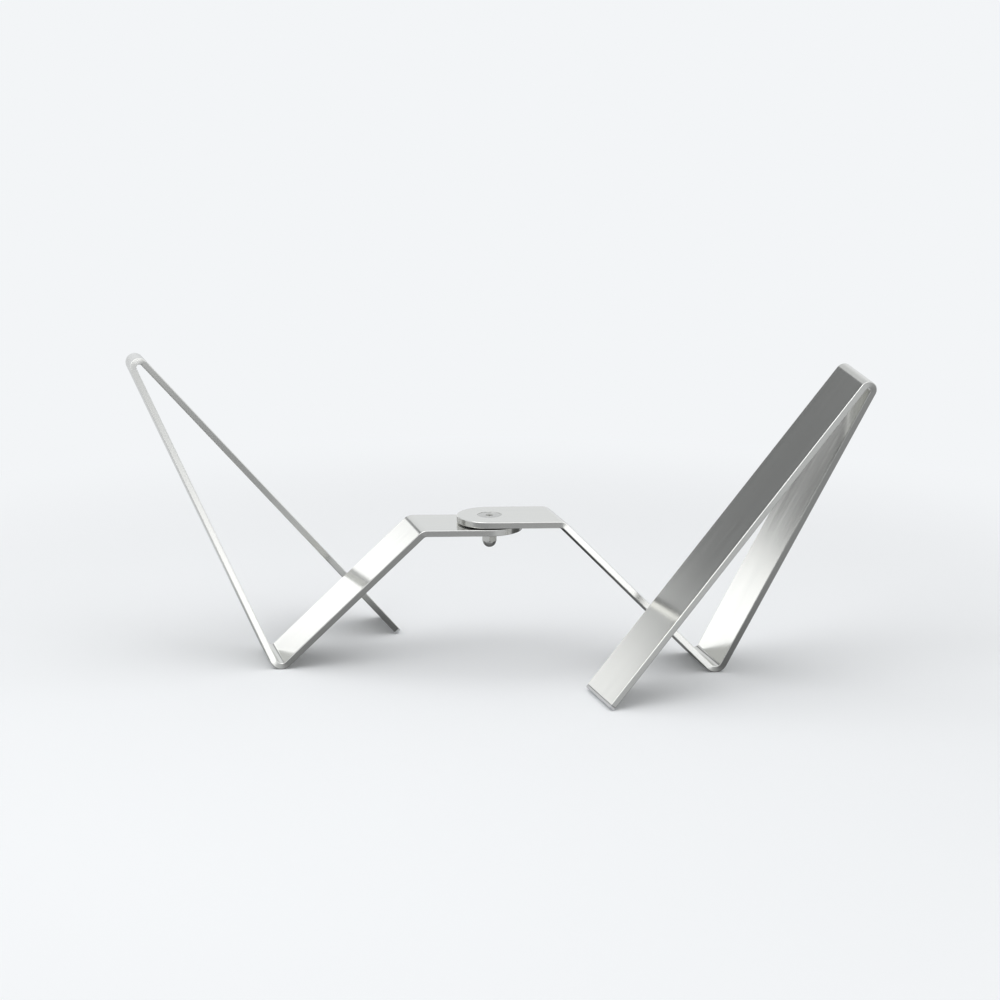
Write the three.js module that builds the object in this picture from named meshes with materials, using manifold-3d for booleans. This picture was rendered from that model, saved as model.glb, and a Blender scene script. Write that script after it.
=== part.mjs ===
// Folding bookstand rack: two bent steel straps that turn about one upright pivot between them.
//
// Units are millimetres, +Z is up and the floor is z = 0. The pivot axis is the Z axis. The stand is
// drawn open, with the viewer at -Y. Each half is one flat strap folded three times: a short level
// tab round the pivot, down to the floor, up to the high crown at the outer end, and down again to a
// padded foot. The second half is the first one turned half a turn about the pivot.

import * as THREE from 'three';
import { mergeVertices } from 'three/addons/utils/BufferGeometryUtils.js';
import Module from 'manifold-3d';

const wasm = await Module();
wasm.setup();

const degrees = Math.PI / 180;

// Strap
const strapWidth = 46;
const strapThickness = 4.5;
const edgeBreak = 0.4;                     // chamfer along the long edges
const bendRadius = 3.5;                    // inside radius of the tab bend and the floor bend
const crownRadius = 2;                     // inside radius of the tight bend at the crown

// Where the strap runs
const creaseTurn = 15.2 * degrees;         // tab and floor creases, turned from the Y axis
const strapSkew = 12.9 * degrees;          // the strap crosses those creases this far from square
const innerSlope = 46.15 * degrees;        // plane from the tab down to the floor bend
const outerSlope = 67.4 * degrees;         // plane from the floor bend up to the crown
const crownTurn = 162 * degrees;           // how far the strap turns back at the crown
const floorReach = 146.2;                  // pivot axis to the lowest line of the floor bend
const outerLegLength = 235.1;              // centreline from the floor bend to the crown bend
const tabTopHeight = 107.5;                // top of the upper tab, the rest face in the middle

// Feet
const footPadThickness = 2;
const bondGap = 0.3;                       // adhesive line between a pad and the strap end

// Pivot
const shoulderDiameter = 10;
const headDiameter = 17;
const headRim = 0.5;                       // straight rim above the countersink cone
const headRecess = 0.2;                    // the head lies this far below the tab's top
const socketAcrossFlats = 5;
const socketDepth = 3;
const studDiameter = 6;
const bushWall = 1.5;
const bushFlangeDiameter = 26;
const bushFlangeThickness = 0.8;
const frictionWasherDiameter = 22;
const frictionWasherThickness = 0.8;
const discSpringDiameter = 20;
const discSpringThickness = 0.8;
const discSpringRise = 0.6;                // height of the cone above its own thickness
const clampWasherDiameter = 18;
const clampWasherThickness = 1.2;
const nutAcrossFlats = 10;
const nutHexHeight = 5;
const nutDomeDiameter = 9.5;
const nutDomeWall = 2;                     // steel left below the nut's bore
const nutCornerBreak = 0.6;
const studReach = 1.5;                     // the stud runs this far into the dome

// Clearances
const runningFit = 0.05;                   // radial, shoulder in its bush and its bores
const stackGap = 0.05;                     // between neighbours along the pivot
const washerPlay = 0.2;                    // radial, washers over the shoulder

// Facets
const bendStep = 6 * degrees;
const tabEndSteps = 11;
const domeSteps = 8;
const turnedSegments = 72;
const hexSides = 6;

// Search for the crown crease
const widestSlant = 20 * degrees;
const slantTolerance = 1e-7 * degrees;

// Heights along the pivot, from the top down
const upperTabMiddle = tabTopHeight - strapThickness / 2;
const upperTabUnderside = tabTopHeight - strapThickness;
const flangeTop = upperTabUnderside - stackGap;
const lowerTabTop = flangeTop - bushFlangeThickness - stackGap;
const lowerTabMiddle = lowerTabTop - strapThickness / 2;
const lowerTabUnderside = lowerTabTop - strapThickness;
const frictionTop = lowerTabUnderside - stackGap;
const springTop = frictionTop - frictionWasherThickness - stackGap;
const springBottom = springTop - discSpringThickness - discSpringRise;
const shoulderEnd = springBottom;
const clampTop = shoulderEnd - stackGap;
const nutTop = clampTop - clampWasherThickness - stackGap;
const nutHexBottom = nutTop - nutHexHeight;

// ---------------------------------------------------------------------------------------------
// Solids

/** Closed three.js geometry to a manifold solid. */
function toSolid(geometry) {
  const bare = geometry.clone();
  bare.deleteAttribute('normal');
  bare.deleteAttribute('uv');
  const merged = mergeVertices(bare.index ? bare : bare.toNonIndexed());
  return new wasm.Manifold(new wasm.Mesh({
    numProp: 3,
    vertProperties: new Float32Array(merged.attributes.position.array),
    triVerts: new Uint32Array(merged.index.array),
  }));
}

/** Manifold solid back to a three.js geometry. */
function toGeometry(solid) {
  const mesh = solid.getMesh();
  const geometry = new THREE.BufferGeometry();
  geometry.setAttribute('position', new THREE.BufferAttribute(mesh.vertProperties, 3));
  geometry.setIndex(new THREE.BufferAttribute(mesh.triVerts, 1));
  geometry.computeVertexNormals();
  return geometry;
}

/** Solid turned about the Z axis from [radius, height] corners listed counter-clockwise. */
function turned(corners) {
  const profile = corners.map(([radius, height]) => new THREE.Vector2(radius, height));
  profile.push(profile[0].clone());
  return toSolid(new THREE.LatheGeometry(profile, turnedSegments).rotateX(Math.PI / 2));
}

/** Flat ring between two heights. */
function ring(innerRadius, outerRadius, bottom, top) {
  return turned([[innerRadius, bottom], [outerRadius, bottom], [outerRadius, top], [innerRadius, top]]);
}

/** Plain disc between two heights. */
function disc(radius, bottom, top) {
  return turned([[0, bottom], [radius, bottom], [radius, top], [0, top]]);
}

/** Hexagonal prism between two heights. */
function hexPrism(acrossFlats, bottom, top) {
  const cornerRadius = acrossFlats / 2 / Math.cos(Math.PI / hexSides);
  const prism = new THREE.CylinderGeometry(cornerRadius, cornerRadius, top - bottom, hexSides);
  prism.rotateX(Math.PI / 2);
  prism.translate(0, 0, (bottom + top) / 2);
  return toSolid(prism);
}

// ---------------------------------------------------------------------------------------------
// Folded strap
//
// A strap is drawn flat first. Along its blank, `along` runs from the pivot towards the foot and
// `across` runs from the near edge to the far edge. A ruling is a straight line across the blank,
// { at, slant }: it crosses the centreline at `at` and leans from square by `slant`. Inside a bend
// the rulings lie parallel to the crease, so every facet of the folded strap is flat.

/** One flat stretch of the strap in space: a point on it and its three directions. */
class Panel {
  constructor(origin, alongDirection, acrossDirection) {
    this.origin = origin;
    this.alongDirection = alongDirection;
    this.acrossDirection = acrossDirection;
    this.normal = new THREE.Vector3().crossVectors(alongDirection, acrossDirection);
  }

  place(along, across, lift) {
    return this.origin.clone()
      .addScaledVector(this.alongDirection, along)
      .addScaledVector(this.acrossDirection, across)
      .addScaledVector(this.normal, lift);
  }
}

/** One bend: it starts on the crease line and rolls the strap towards +normal or -normal. */
class Bend {
  constructor(panel, at, slant, angle, side, midRadius) {
    this.panel = panel;
    this.at = at;
    this.slant = slant;
    this.angle = angle;
    this.side = side;
    this.midRadius = midRadius;
    const cos = Math.cos(slant);
    const sin = Math.sin(slant);
    this.start = panel.place(at, 0, 0);
    this.forward = panel.alongDirection.clone().multiplyScalar(cos)
      .addScaledVector(panel.acrossDirection, sin);
    this.crease = panel.alongDirection.clone().multiplyScalar(-sin)
      .addScaledVector(panel.acrossDirection, cos);
  }

  /** Mid surface point, forward direction and normal after rolling by `turn`. */
  roll(turn) {
    const cos = Math.cos(turn);
    const sin = Math.sin(turn);
    const point = this.start.clone()
      .addScaledVector(this.forward, this.midRadius * sin)
      .addScaledVector(this.panel.normal, this.side * this.midRadius * (1 - cos));
    const forward = this.forward.clone().multiplyScalar(cos)
      .addScaledVector(this.panel.normal, this.side * sin);
    const normal = this.panel.normal.clone().multiplyScalar(cos)
      .addScaledVector(this.forward, -this.side * sin);
    return { point, forward, normal };
  }

  /** The flat panel that follows the bend, in the same blank coordinates. */
  nextPanel() {
    const cos = Math.cos(this.slant);
    const sin = Math.sin(this.slant);
    const { point, forward } = this.roll(this.angle);
    const alongDirection = forward.clone().multiplyScalar(cos).addScaledVector(this.crease, -sin);
    const acrossDirection = forward.clone().multiplyScalar(sin).addScaledVector(this.crease, cos);
    const origin = point.addScaledVector(forward, -this.midRadius * this.angle)
      .addScaledVector(alongDirection, -this.at);
    return new Panel(origin, alongDirection, acrossDirection);
  }

  /** Position on the blank where the bend ends. */
  get end() {
    return this.at + this.midRadius * this.angle / Math.cos(this.slant);
  }

  /** A point inside the bend on the ruling that has turned by `turn`. */
  place(turn, across, lift) {
    const { point, normal } = this.roll(turn);
    const alongCrease = (across - this.midRadius * turn * Math.sin(this.slant)) / Math.cos(this.slant);
    return point.addScaledVector(this.crease, alongCrease).addScaledVector(normal, lift);
  }
}

/** Corners of the strap's section as [across, lift], chamfered, for a given half width. */
function sectionCorners(halfWidth) {
  const half = strapThickness / 2;
  return [
    [-halfWidth, edgeBreak - half], [edgeBreak - halfWidth, -half],
    [halfWidth - edgeBreak, -half], [halfWidth, edgeBreak - half],
    [halfWidth, half - edgeBreak], [halfWidth - edgeBreak, half],
    [edgeBreak - halfWidth, half], [-halfWidth, half - edgeBreak],
  ];
}

/** Closed skin over a run of sections that all have the same number of corners. */
function skin(sections) {
  const corners = sections[0].length;
  const positions = sections.flat().flatMap((point) => point.toArray());
  const triangles = [];
  for (let row = 0; row + 1 < sections.length; row += 1) {
    for (let corner = 0; corner < corners; corner += 1) {
      const next = (corner + 1) % corners;
      const a = row * corners + corner;
      const b = row * corners + next;
      triangles.push(a, b, b + corners, a, b + corners, a + corners);
    }
  }
  const last = (sections.length - 1) * corners;
  for (let corner = 1; corner + 1 < corners; corner += 1) {
    triangles.push(0, corner + 1, corner);
    triangles.push(last, last + corner, last + corner + 1);
  }
  const geometry = new THREE.BufferGeometry();
  geometry.setAttribute('position', new THREE.Float32BufferAttribute(positions, 3));
  geometry.setIndex(triangles);
  return geometry;
}

const bendMid = bendRadius + strapThickness / 2;
const crownMid = crownRadius + strapThickness / 2;

/** Level and sloping lengths, square to the creases, for a tab whose middle is at `tabMiddle`. */
function innerRun(tabMiddle) {
  const drop = tabMiddle - strapThickness / 2;
  const bendDrop = bendMid * (1 - Math.cos(innerSlope));
  const slope = (drop - 2 * bendDrop) / Math.sin(innerSlope);
  const level = floorReach - 2 * bendMid * Math.sin(innerSlope) - slope * Math.cos(innerSlope);
  return { level, slope, unrolled: level + bendMid * innerSlope + slope };
}

/** The slant of the crown crease that leaves the foot's edge level on the floor. */
function levelFootSlant(panel, at) {
  const footEdgeRise = (slant) => {
    const bend = new Bend(panel, at, slant, crownTurn, 1, crownMid);
    return bend.nextPanel().acrossDirection.z;
  };
  let low = 0;
  let high = widestSlant;
  while (high - low > slantTolerance) {
    const middle = (low + high) / 2;
    if (footEdgeRise(low) * footEdgeRise(middle) <= 0) {
      high = middle;
    } else {
      low = middle;
    }
  }
  return low;
}

/** Folds one strap on the right-hand side of the pivot. */
function foldStrap(tabMiddle) {
  const averageMiddle = (upperTabMiddle + lowerTabMiddle) / 2;
  const run = innerRun(tabMiddle);
  // The tabs lie at two heights but the legs match, so each tab sits a hair to one side.
  const tabOffset = (run.unrolled - innerRun(averageMiddle).unrolled) * Math.sin(strapSkew);
  const heading = creaseTurn - strapSkew;
  const along = new THREE.Vector3(Math.cos(heading), Math.sin(heading), 0);
  const across = new THREE.Vector3(-Math.sin(heading), Math.cos(heading), 0);
  const origin = new THREE.Vector3(0, 0, tabMiddle).addScaledVector(across, tabOffset);

  const tab = new Panel(origin, along, across);
  const tabCrease = (run.level - tabOffset * Math.sin(strapSkew)) / Math.cos(strapSkew);
  const tabBend = new Bend(tab, tabCrease, strapSkew, innerSlope, -1, bendMid);
  const innerLeg = tabBend.nextPanel();
  const floorCrease = tabBend.end + run.slope / Math.cos(strapSkew);
  const floorBend = new Bend(innerLeg, floorCrease, strapSkew, innerSlope + outerSlope, 1, bendMid);
  const outerLeg = floorBend.nextPanel();
  const crownCrease = floorCrease + outerLegLength;
  const crownSlant = levelFootSlant(outerLeg, crownCrease);
  const crownBend = new Bend(outerLeg, crownCrease, crownSlant, crownTurn, 1, crownMid);
  const frontLeg = crownBend.nextPanel();

  const lowestCorner = Math.abs(frontLeg.normal.z) * strapThickness / 2;
  const legEnd = (frontLeg.origin.z - lowestCorner) / -frontLeg.alongDirection.z;
  return { tab, bends: [tabBend, floorBend, crownBend], frontLeg, legEnd };
}

/** Solid strap without its pivot bore. */
function strapSolid(fold) {
  const sections = [];
  const tabRadius = strapWidth / 2;
  for (let step = 1; step <= tabEndSteps; step += 1) {
    const angle = (step / tabEndSteps) * Math.PI / 2;
    const corners = sectionCorners(tabRadius * Math.sin(angle));
    const at = -tabRadius * Math.cos(angle);
    sections.push(corners.map(([across, lift]) => fold.tab.place(at, across, lift)));
  }
  const corners = sectionCorners(tabRadius);
  for (const bend of fold.bends) {
    const steps = Math.ceil(bend.angle / bendStep);
    for (let step = 0; step <= steps; step += 1) {
      const turn = bend.angle * step / steps;
      sections.push(corners.map(([across, lift]) => bend.place(turn, across, lift)));
    }
  }
  const strapEnd = fold.legEnd - footPadThickness - bondGap;
  sections.push(corners.map(([across, lift]) => fold.frontLeg.place(strapEnd, across, lift)));
  return toSolid(skin(sections));
}

/** Thin pad bonded to the square end of the leg. */
function footPad(fold) {
  const corners = sectionCorners(strapWidth / 2);
  const rows = [fold.legEnd - footPadThickness, fold.legEnd];
  return toSolid(skin(rows.map((at) => corners.map(
    ([across, lift]) => fold.frontLeg.place(at, across, lift),
  ))));
}

// ---------------------------------------------------------------------------------------------
// Pivot pieces

const shoulderRadius = shoulderDiameter / 2;
const shoulderBore = shoulderRadius + runningFit;
const bushOuter = shoulderBore + bushWall;
const headRadius = headDiameter / 2;
const headTop = tabTopHeight - headRecess;
const coneTop = headTop - headRim;
const coneBottom = coneTop - (headRadius - shoulderRadius);
const washerBore = shoulderRadius + washerPlay;
const studRadius = studDiameter / 2;
const studBore = studRadius + runningFit;
const studEnd = nutHexBottom - studReach;
const domeRadius = nutDomeDiameter / 2;
const nutFaceRadius = nutAcrossFlats / 2;

/** Bore and countersink through the upper tab. */
function screwSeat() {
  const above = tabTopHeight + strapThickness;
  const below = upperTabUnderside - strapThickness;
  return turned([
    [0, below], [shoulderBore, below], [shoulderBore, coneBottom],
    [headRadius + runningFit, coneTop], [headRadius + runningFit, above], [0, above],
  ]);
}

/** Bore through the lower tab for the bush. */
function bushSeat() {
  const above = lowerTabTop + strapThickness;
  const below = lowerTabUnderside - strapThickness;
  return disc(bushOuter + runningFit, below, above);
}

/** Countersunk shoulder screw with a hexagon socket. */
function pivotScrew() {
  const blank = turned([
    [0, studEnd], [studRadius, studEnd], [studRadius, shoulderEnd], [shoulderRadius, shoulderEnd],
    [shoulderRadius, coneBottom - stackGap], [headRadius, coneTop - stackGap],
    [headRadius, headTop], [0, headTop],
  ]);
  return blank.subtract(hexPrism(socketAcrossFlats, headTop - socketDepth, headTop + socketDepth));
}

/** Flanged bush: the sleeve lines the lower tab, the flange parts the two tabs. */
function pivotBush() {
  const flangeBottom = flangeTop - bushFlangeThickness;
  return turned([
    [shoulderBore, lowerTabUnderside], [bushOuter, lowerTabUnderside], [bushOuter, flangeBottom],
    [bushFlangeDiameter / 2, flangeBottom], [bushFlangeDiameter / 2, flangeTop],
    [shoulderBore, flangeTop],
  ]);
}

/** Plastic washer that the lower tab turns against. */
function frictionWasher() {
  const outer = frictionWasherDiameter / 2;
  return ring(washerBore, outer, frictionTop - frictionWasherThickness, frictionTop);
}

/** Thick washer that the nut pulls against the shoulder. */
function clampWasher() {
  return ring(studBore, clampWasherDiameter / 2, clampTop - clampWasherThickness, clampTop);
}

/** Conical spring washer that keeps the pivot stiff. */
function discSpring() {
  const inner = washerBore;
  const outer = discSpringDiameter / 2;
  return turned([
    [inner, springBottom], [outer, springTop - discSpringThickness],
    [outer, springTop], [inner, springBottom + discSpringThickness],
  ]);
}

/** Hexagon of the nut with its corners turned down at both ends. */
function nutHexagon() {
  const cornerRadius = nutFaceRadius / Math.cos(Math.PI / hexSides);
  const rounding = turned([
    [0, nutHexBottom], [nutFaceRadius, nutHexBottom],
    [cornerRadius, nutHexBottom + nutCornerBreak], [cornerRadius, nutTop - nutCornerBreak],
    [nutFaceRadius, nutTop], [0, nutTop],
  ]);
  return hexPrism(nutAcrossFlats, nutHexBottom, nutTop).intersect(rounding);
}

/** Domed cap nut, blind at its lower end. */
function capNut() {
  const domeBottom = nutHexBottom - domeRadius;
  const profile = [];
  for (let step = 0; step <= domeSteps; step += 1) {
    const angle = (step / domeSteps) * Math.PI / 2;
    profile.push([domeRadius * Math.sin(angle), nutHexBottom - domeRadius * Math.cos(angle)]);
  }
  profile.push([domeRadius, nutTop - nutCornerBreak], [0, nutTop - nutCornerBreak]);
  const bore = disc(studBore, domeBottom + nutDomeWall, nutTop + nutDomeWall);
  return nutHexagon().add(turned(profile)).subtract(bore);
}

// ---------------------------------------------------------------------------------------------
// Assembly

const brushedSteel = { color: 0xc4c5c4, roughness: 0.3, metalness: 1 };
const turnedSteel = { color: 0xb4b5b6, roughness: 0.25, metalness: 1 };
const springSteel = { color: 0x8f9092, roughness: 0.4, metalness: 1 };
const acetal = { color: 0x2b2b2d, roughness: 0.5, metalness: 0 };
const rubber = { color: 0x3a3b3c, roughness: 0.8, metalness: 0 };

/** Named mesh with its own material. */
function piece(name, solid, finish) {
  const mesh = new THREE.Mesh(toGeometry(solid), new THREE.MeshStandardMaterial(finish));
  mesh.name = name;
  return mesh;
}

const group = new THREE.Group();

const upperFold = foldStrap(upperTabMiddle);
const upperSide = new THREE.Group();
upperSide.add(
  piece('upper_strap', strapSolid(upperFold).subtract(screwSeat()), brushedSteel),
  piece('upper_foot_pad', footPad(upperFold), rubber),
);
group.add(upperSide);

const lowerFold = foldStrap(lowerTabMiddle);
const lowerSide = new THREE.Group();
lowerSide.add(
  piece('lower_strap', strapSolid(lowerFold).subtract(bushSeat()), brushedSteel),
  piece('lower_foot_pad', footPad(lowerFold), rubber),
);
lowerSide.rotation.z = Math.PI;
group.add(lowerSide);

group.add(
  piece('pivot_screw', pivotScrew(), turnedSteel),
  piece('pivot_bush', pivotBush(), acetal),
  piece('friction_washer', frictionWasher(), acetal),
  piece('disc_spring', discSpring(), springSteel),
  piece('clamp_washer', clampWasher(), turnedSteel),
  piece('cap_nut', capNut(), turnedSteel),
);

export default group;
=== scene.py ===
"""Finished look of a folding bookstand rack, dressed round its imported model.

The stand is two straps of 4.5 mm stainless sheet. Each is cut as a flat blank with one round end,
brushed along its length, and folded three times: at the tab, at the floor and at the crown. The two
tabs lie one on the other and turn about an upright pivot: a countersunk shoulder screw, a flanged
bush, a friction washer, a disc spring, a clamp washer and a cap nut. A thin pad is bonded to the
square end of each long leg.

The blanks are drawn flat and a Geometry Nodes tree folds them, so the strap, its bond line and its
pad all follow the same rule. Lengths are in metres and angles in radians unless a name says more.
+Z is up, the pivot is the Z axis and the viewer stands at -Y.
"""

import logging
import math
from collections.abc import Callable, Iterable, Sequence
from dataclasses import dataclass, field
from enum import Enum
from functools import partial

import bpy
from mathutils import Matrix, Vector


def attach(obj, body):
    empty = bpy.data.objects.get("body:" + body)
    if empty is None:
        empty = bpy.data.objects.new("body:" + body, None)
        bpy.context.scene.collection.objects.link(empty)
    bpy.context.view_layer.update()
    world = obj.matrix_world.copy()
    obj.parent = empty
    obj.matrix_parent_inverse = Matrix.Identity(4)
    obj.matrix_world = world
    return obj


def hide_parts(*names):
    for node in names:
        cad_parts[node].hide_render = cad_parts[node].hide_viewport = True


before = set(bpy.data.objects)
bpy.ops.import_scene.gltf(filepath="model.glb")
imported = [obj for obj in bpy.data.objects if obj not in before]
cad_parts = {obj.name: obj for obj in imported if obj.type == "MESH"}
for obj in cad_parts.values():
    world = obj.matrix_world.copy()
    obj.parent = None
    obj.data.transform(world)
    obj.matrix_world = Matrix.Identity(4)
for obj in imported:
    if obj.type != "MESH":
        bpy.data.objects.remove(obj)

MM = 0.001
HEX_SIDES = 6
SHARP_ANGLE = math.radians(35)
MERGE_GRID = 1e-7            # points this close together are one
MERGE_SHIFT = 0.37           # keeps round sizes away from the grid's own edges
WATTS_PER_RADIANCE = 4       # an area lamp of P watts over A square metres shows P / 4A

log = logging.getLogger("bookstand")

Tree = bpy.types.NodeTree
Node = bpy.types.Node
Source = Node | bpy.types.NodeSocket     # where an input's value comes from
Piece = bpy.types.Object
Inputs = dict[str | int, object]
Adder = Callable[..., Node]              # add_node with its tree filled in
Point = tuple[float, float, float]
Span = tuple[float, float]
BoreStep = tuple[float, float, float]    # radius, lift and edge weight of one step down a bore

# A Mix node's sockets share their names, so they go by place
FLOAT_A, FLOAT_B = 2, 3
COLOUR_A, COLOUR_B = 6, 7
COLOUR_OUT = 2

WHOLE_SPAN: Span = (0.0, 1.0)
MATT: Inputs = {"Roughness": 1.0, "Specular IOR Level": 0.0}


# ---- Node trees


def fill(node: Node, inputs: Inputs) -> None:
    """Fills or links a node's inputs.

    Args:
        node: The node.
        inputs: Input name or index, to a value, to an output socket of another node or to the node
            itself, which stands for its first output.
    """
    for key, value in inputs.items():
        source = value.outputs[0] if isinstance(value, Node) else value
        if isinstance(source, bpy.types.NodeSocket):
            node.id_data.links.new(source, node.inputs[key])
        else:
            node.inputs[key].default_value = source


def add_node(tree: Tree, kind: str, inputs: Inputs | None = None, **settings: object) -> Node:
    """Adds one node, sets its options and fills or links its inputs.

    Args:
        tree: The tree that gets the node.
        kind: The node's Blender type name.
        inputs: What its inputs take, as in fill.
        **settings: Options of the node, set before its inputs.

    Returns:
        The new node.
    """
    node = tree.nodes.new(kind)
    for name, value in settings.items():
        setattr(node, name, value)
    fill(node, inputs or {})
    return node


def spans(given: Span, wanted: tuple[float, float | Source]) -> Inputs:
    """The inputs that carry one span of values to another.

    Args:
        given: The lowest and highest value that come in.
        wanted: What these two become.

    Returns:
        Input names with their values, for a Map Range node.
    """
    return {"From Min": given[0], "From Max": given[1], "To Min": wanted[0], "To Max": wanted[1]}


def around(level: float, play: Span) -> Span:
    """The span about a level, from its play below and above it."""
    return level + play[0], level + play[1]


def srgb(code: str) -> tuple[float, float, float, float]:
    """Turns an sRGB hex colour into Blender's linear colour.

    Args:
        code: Six hex digits, such as "C8C8C4".

    Returns:
        Linear red, green and blue, and an alpha of 1.
    """
    channels = [int(code[i : i + 2], 16) / 255 for i in (0, 2, 4)]
    linear = [c / 12.92 if c <= 0.04045 else ((c + 0.055) / 1.055) ** 2.4 for c in channels]
    return (linear[0], linear[1], linear[2], 1.0)


def new_material(name: str) -> tuple[bpy.types.Material, Adder, Node]:
    """Makes an empty node material.

    Args:
        name: The material's name.

    Returns:
        The material, the adder of its nodes and its Principled shader, already linked to the output.
    """
    material = bpy.data.materials.new(name)
    material.use_nodes = True
    material.node_tree.nodes.clear()
    node = partial(add_node, material.node_tree)
    shader = node("ShaderNodeBsdfPrincipled")
    node("ShaderNodeOutputMaterial", {"Surface": shader.outputs["BSDF"]})
    return material, node, shader


def new_group(name: str, given: dict[str, str]) -> tuple[Tree, Adder]:
    """Makes an empty node group that takes a geometry and gives one back.

    Args:
        name: The group's name.
        given: Its other inputs, each with its kind.

    Returns:
        The group and the adder of its nodes.
    """
    tree = bpy.data.node_groups.new(name, "GeometryNodeTree")
    for label, kind in {"Geometry": "Geometry", **given}.items():
        tree.interface.new_socket(label, in_out="INPUT", socket_type=f"NodeSocket{kind}")
    tree.interface.new_socket("Geometry", in_out="OUTPUT", socket_type="NodeSocketGeometry")
    return tree, partial(add_node, tree)


# ---- Finishes


@dataclass(frozen=True)
class BrushedStainless:
    """1.4301 stainless sheet with a very fine lengthwise belt finish, buffed almost to a mirror.

    The eye gets a soft, even reflection that smears across the grain, faint hairlines, broad shallow
    waves left by rolling, and edges that the deburring wheel left brighter than the faces, their
    colour lifted further as a painted highlight. The cut sides are a little duller than the rolled
    faces, and their greyer colour is partly painted shade.
    """

    face_colour: str = "DADAD6"
    # greyer colour of the cut sides: duller steel, and partly painted shade
    cut_and_shade_colour: str = "CCCCC9"
    # paler colour of the rounded edges: deburred steel, and partly a painted highlight
    deburr_and_highlight_colour: str = "F2F2EF"
    roughness: float = 0.16
    cut_roughness: float = 0.22
    edge_roughness: float = 0.12
    roughness_play: Span = (-0.03, 0.035)
    anisotropy: float = 0.35
    anisotropy_turn: float = 0.25          # a quarter turn, from along the grain to across it
    hairline_spacing_mm: float = 0.45      # real belt lines are 0.1 mm apart, drawn coarser to show
    hairline_length_mm: float = 60
    hairline_depth_mm: float = 0.0012
    band_spacing_mm: float = 5
    band_length_mm: float = 180
    wave_size_mm: float = 70
    wave_depth_mm: float = 0.02
    grain_reach: Span = (0.6, 1.4)         # what hairlines and bands add up to
    tone_play: Span = (0.965, 1.03)

    def build(self) -> bpy.types.Material:
        """Builds the material, which reads the flat blank's own coordinates.

        Returns:
            The material.
        """
        material, node, shader = new_material("brushed_stainless_sheet")
        blank = node("ShaderNodeAttribute", attribute_name="blank").outputs["Vector"]
        side = node("ShaderNodeAttribute", attribute_name="cut_side").outputs["Fac"]
        edge = node("ShaderNodeAttribute", attribute_name="edge").outputs["Fac"]

        streaks = []
        for spacing, length, detail, softness in (
            (self.hairline_spacing_mm, self.hairline_length_mm, 3.0, 0.6),
            (self.band_spacing_mm, self.band_length_mm, 2.0, 0.5),
        ):
            across = 1 / (spacing * MM)
            scale = (1 / (length * MM), across, across)
            at = node("ShaderNodeMapping", {"Vector": blank, "Scale": scale})
            noise = {"Vector": at, "Scale": 1.0, "Detail": detail, "Roughness": softness}
            streaks.append(node("ShaderNodeTexNoise", noise))
        hairlines, bands = streaks
        wave = node(
            "ShaderNodeTexNoise", {"Vector": blank, "Scale": 1 / (self.wave_size_mm * MM), "Detail": 1.0},
        )

        grain = node("ShaderNodeMath", {0: hairlines, 1: bands}, operation="ADD")
        tone = node("ShaderNodeMapRange", {"Value": grain, **spans(self.grain_reach, self.tone_play)})
        # cut sides take the greyer colour, partly painted shade
        faces = node(
            "ShaderNodeMix",
            {"Factor": side, COLOUR_A: srgb(self.face_colour), COLOUR_B: srgb(self.cut_and_shade_colour)},
            data_type="RGBA",
        ).outputs[COLOUR_OUT]
        shaded = node("ShaderNodeVectorMath", {0: faces, "Scale": tone}, operation="SCALE")
        # rounded edges take the paler colour, partly a painted highlight
        deburred_and_highlit = node(
            "ShaderNodeMix", {"Factor": edge, COLOUR_A: shaded, COLOUR_B: srgb(self.deburr_and_highlight_colour)},
            data_type="RGBA",
        ).outputs[COLOUR_OUT]

        face_span = around(self.roughness, self.roughness_play)
        face_roughness = node(
            "ShaderNodeMapRange", {"Value": grain, **spans(self.grain_reach, face_span)},
        )
        cut_roughness = node(
            "ShaderNodeMix", {"Factor": side, FLOAT_A: face_roughness, FLOAT_B: self.cut_roughness},
        )
        roughness = node(
            "ShaderNodeMix", {"Factor": edge, FLOAT_A: cut_roughness, FLOAT_B: self.edge_roughness},
        )

        rolled = node(
            "ShaderNodeBump", {"Height": wave, "Strength": 1.0, "Distance": self.wave_depth_mm * MM},
        )
        scratched = node(
            "ShaderNodeBump",
            {
                "Height": hairlines, "Strength": 1.0,
                "Distance": self.hairline_depth_mm * MM, "Normal": rolled,
            },
        )
        tangent = node("ShaderNodeTangent", direction_type="UV_MAP", uv_map="blank_uv")

        fill(shader, {
            "Base Color": deburred_and_highlit, "Roughness": roughness, "Normal": scratched,
            "Tangent": tangent, "Metallic": 1.0,
            "Anisotropic": self.anisotropy, "Anisotropic Rotation": self.anisotropy_turn,
        })
        return material


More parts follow.
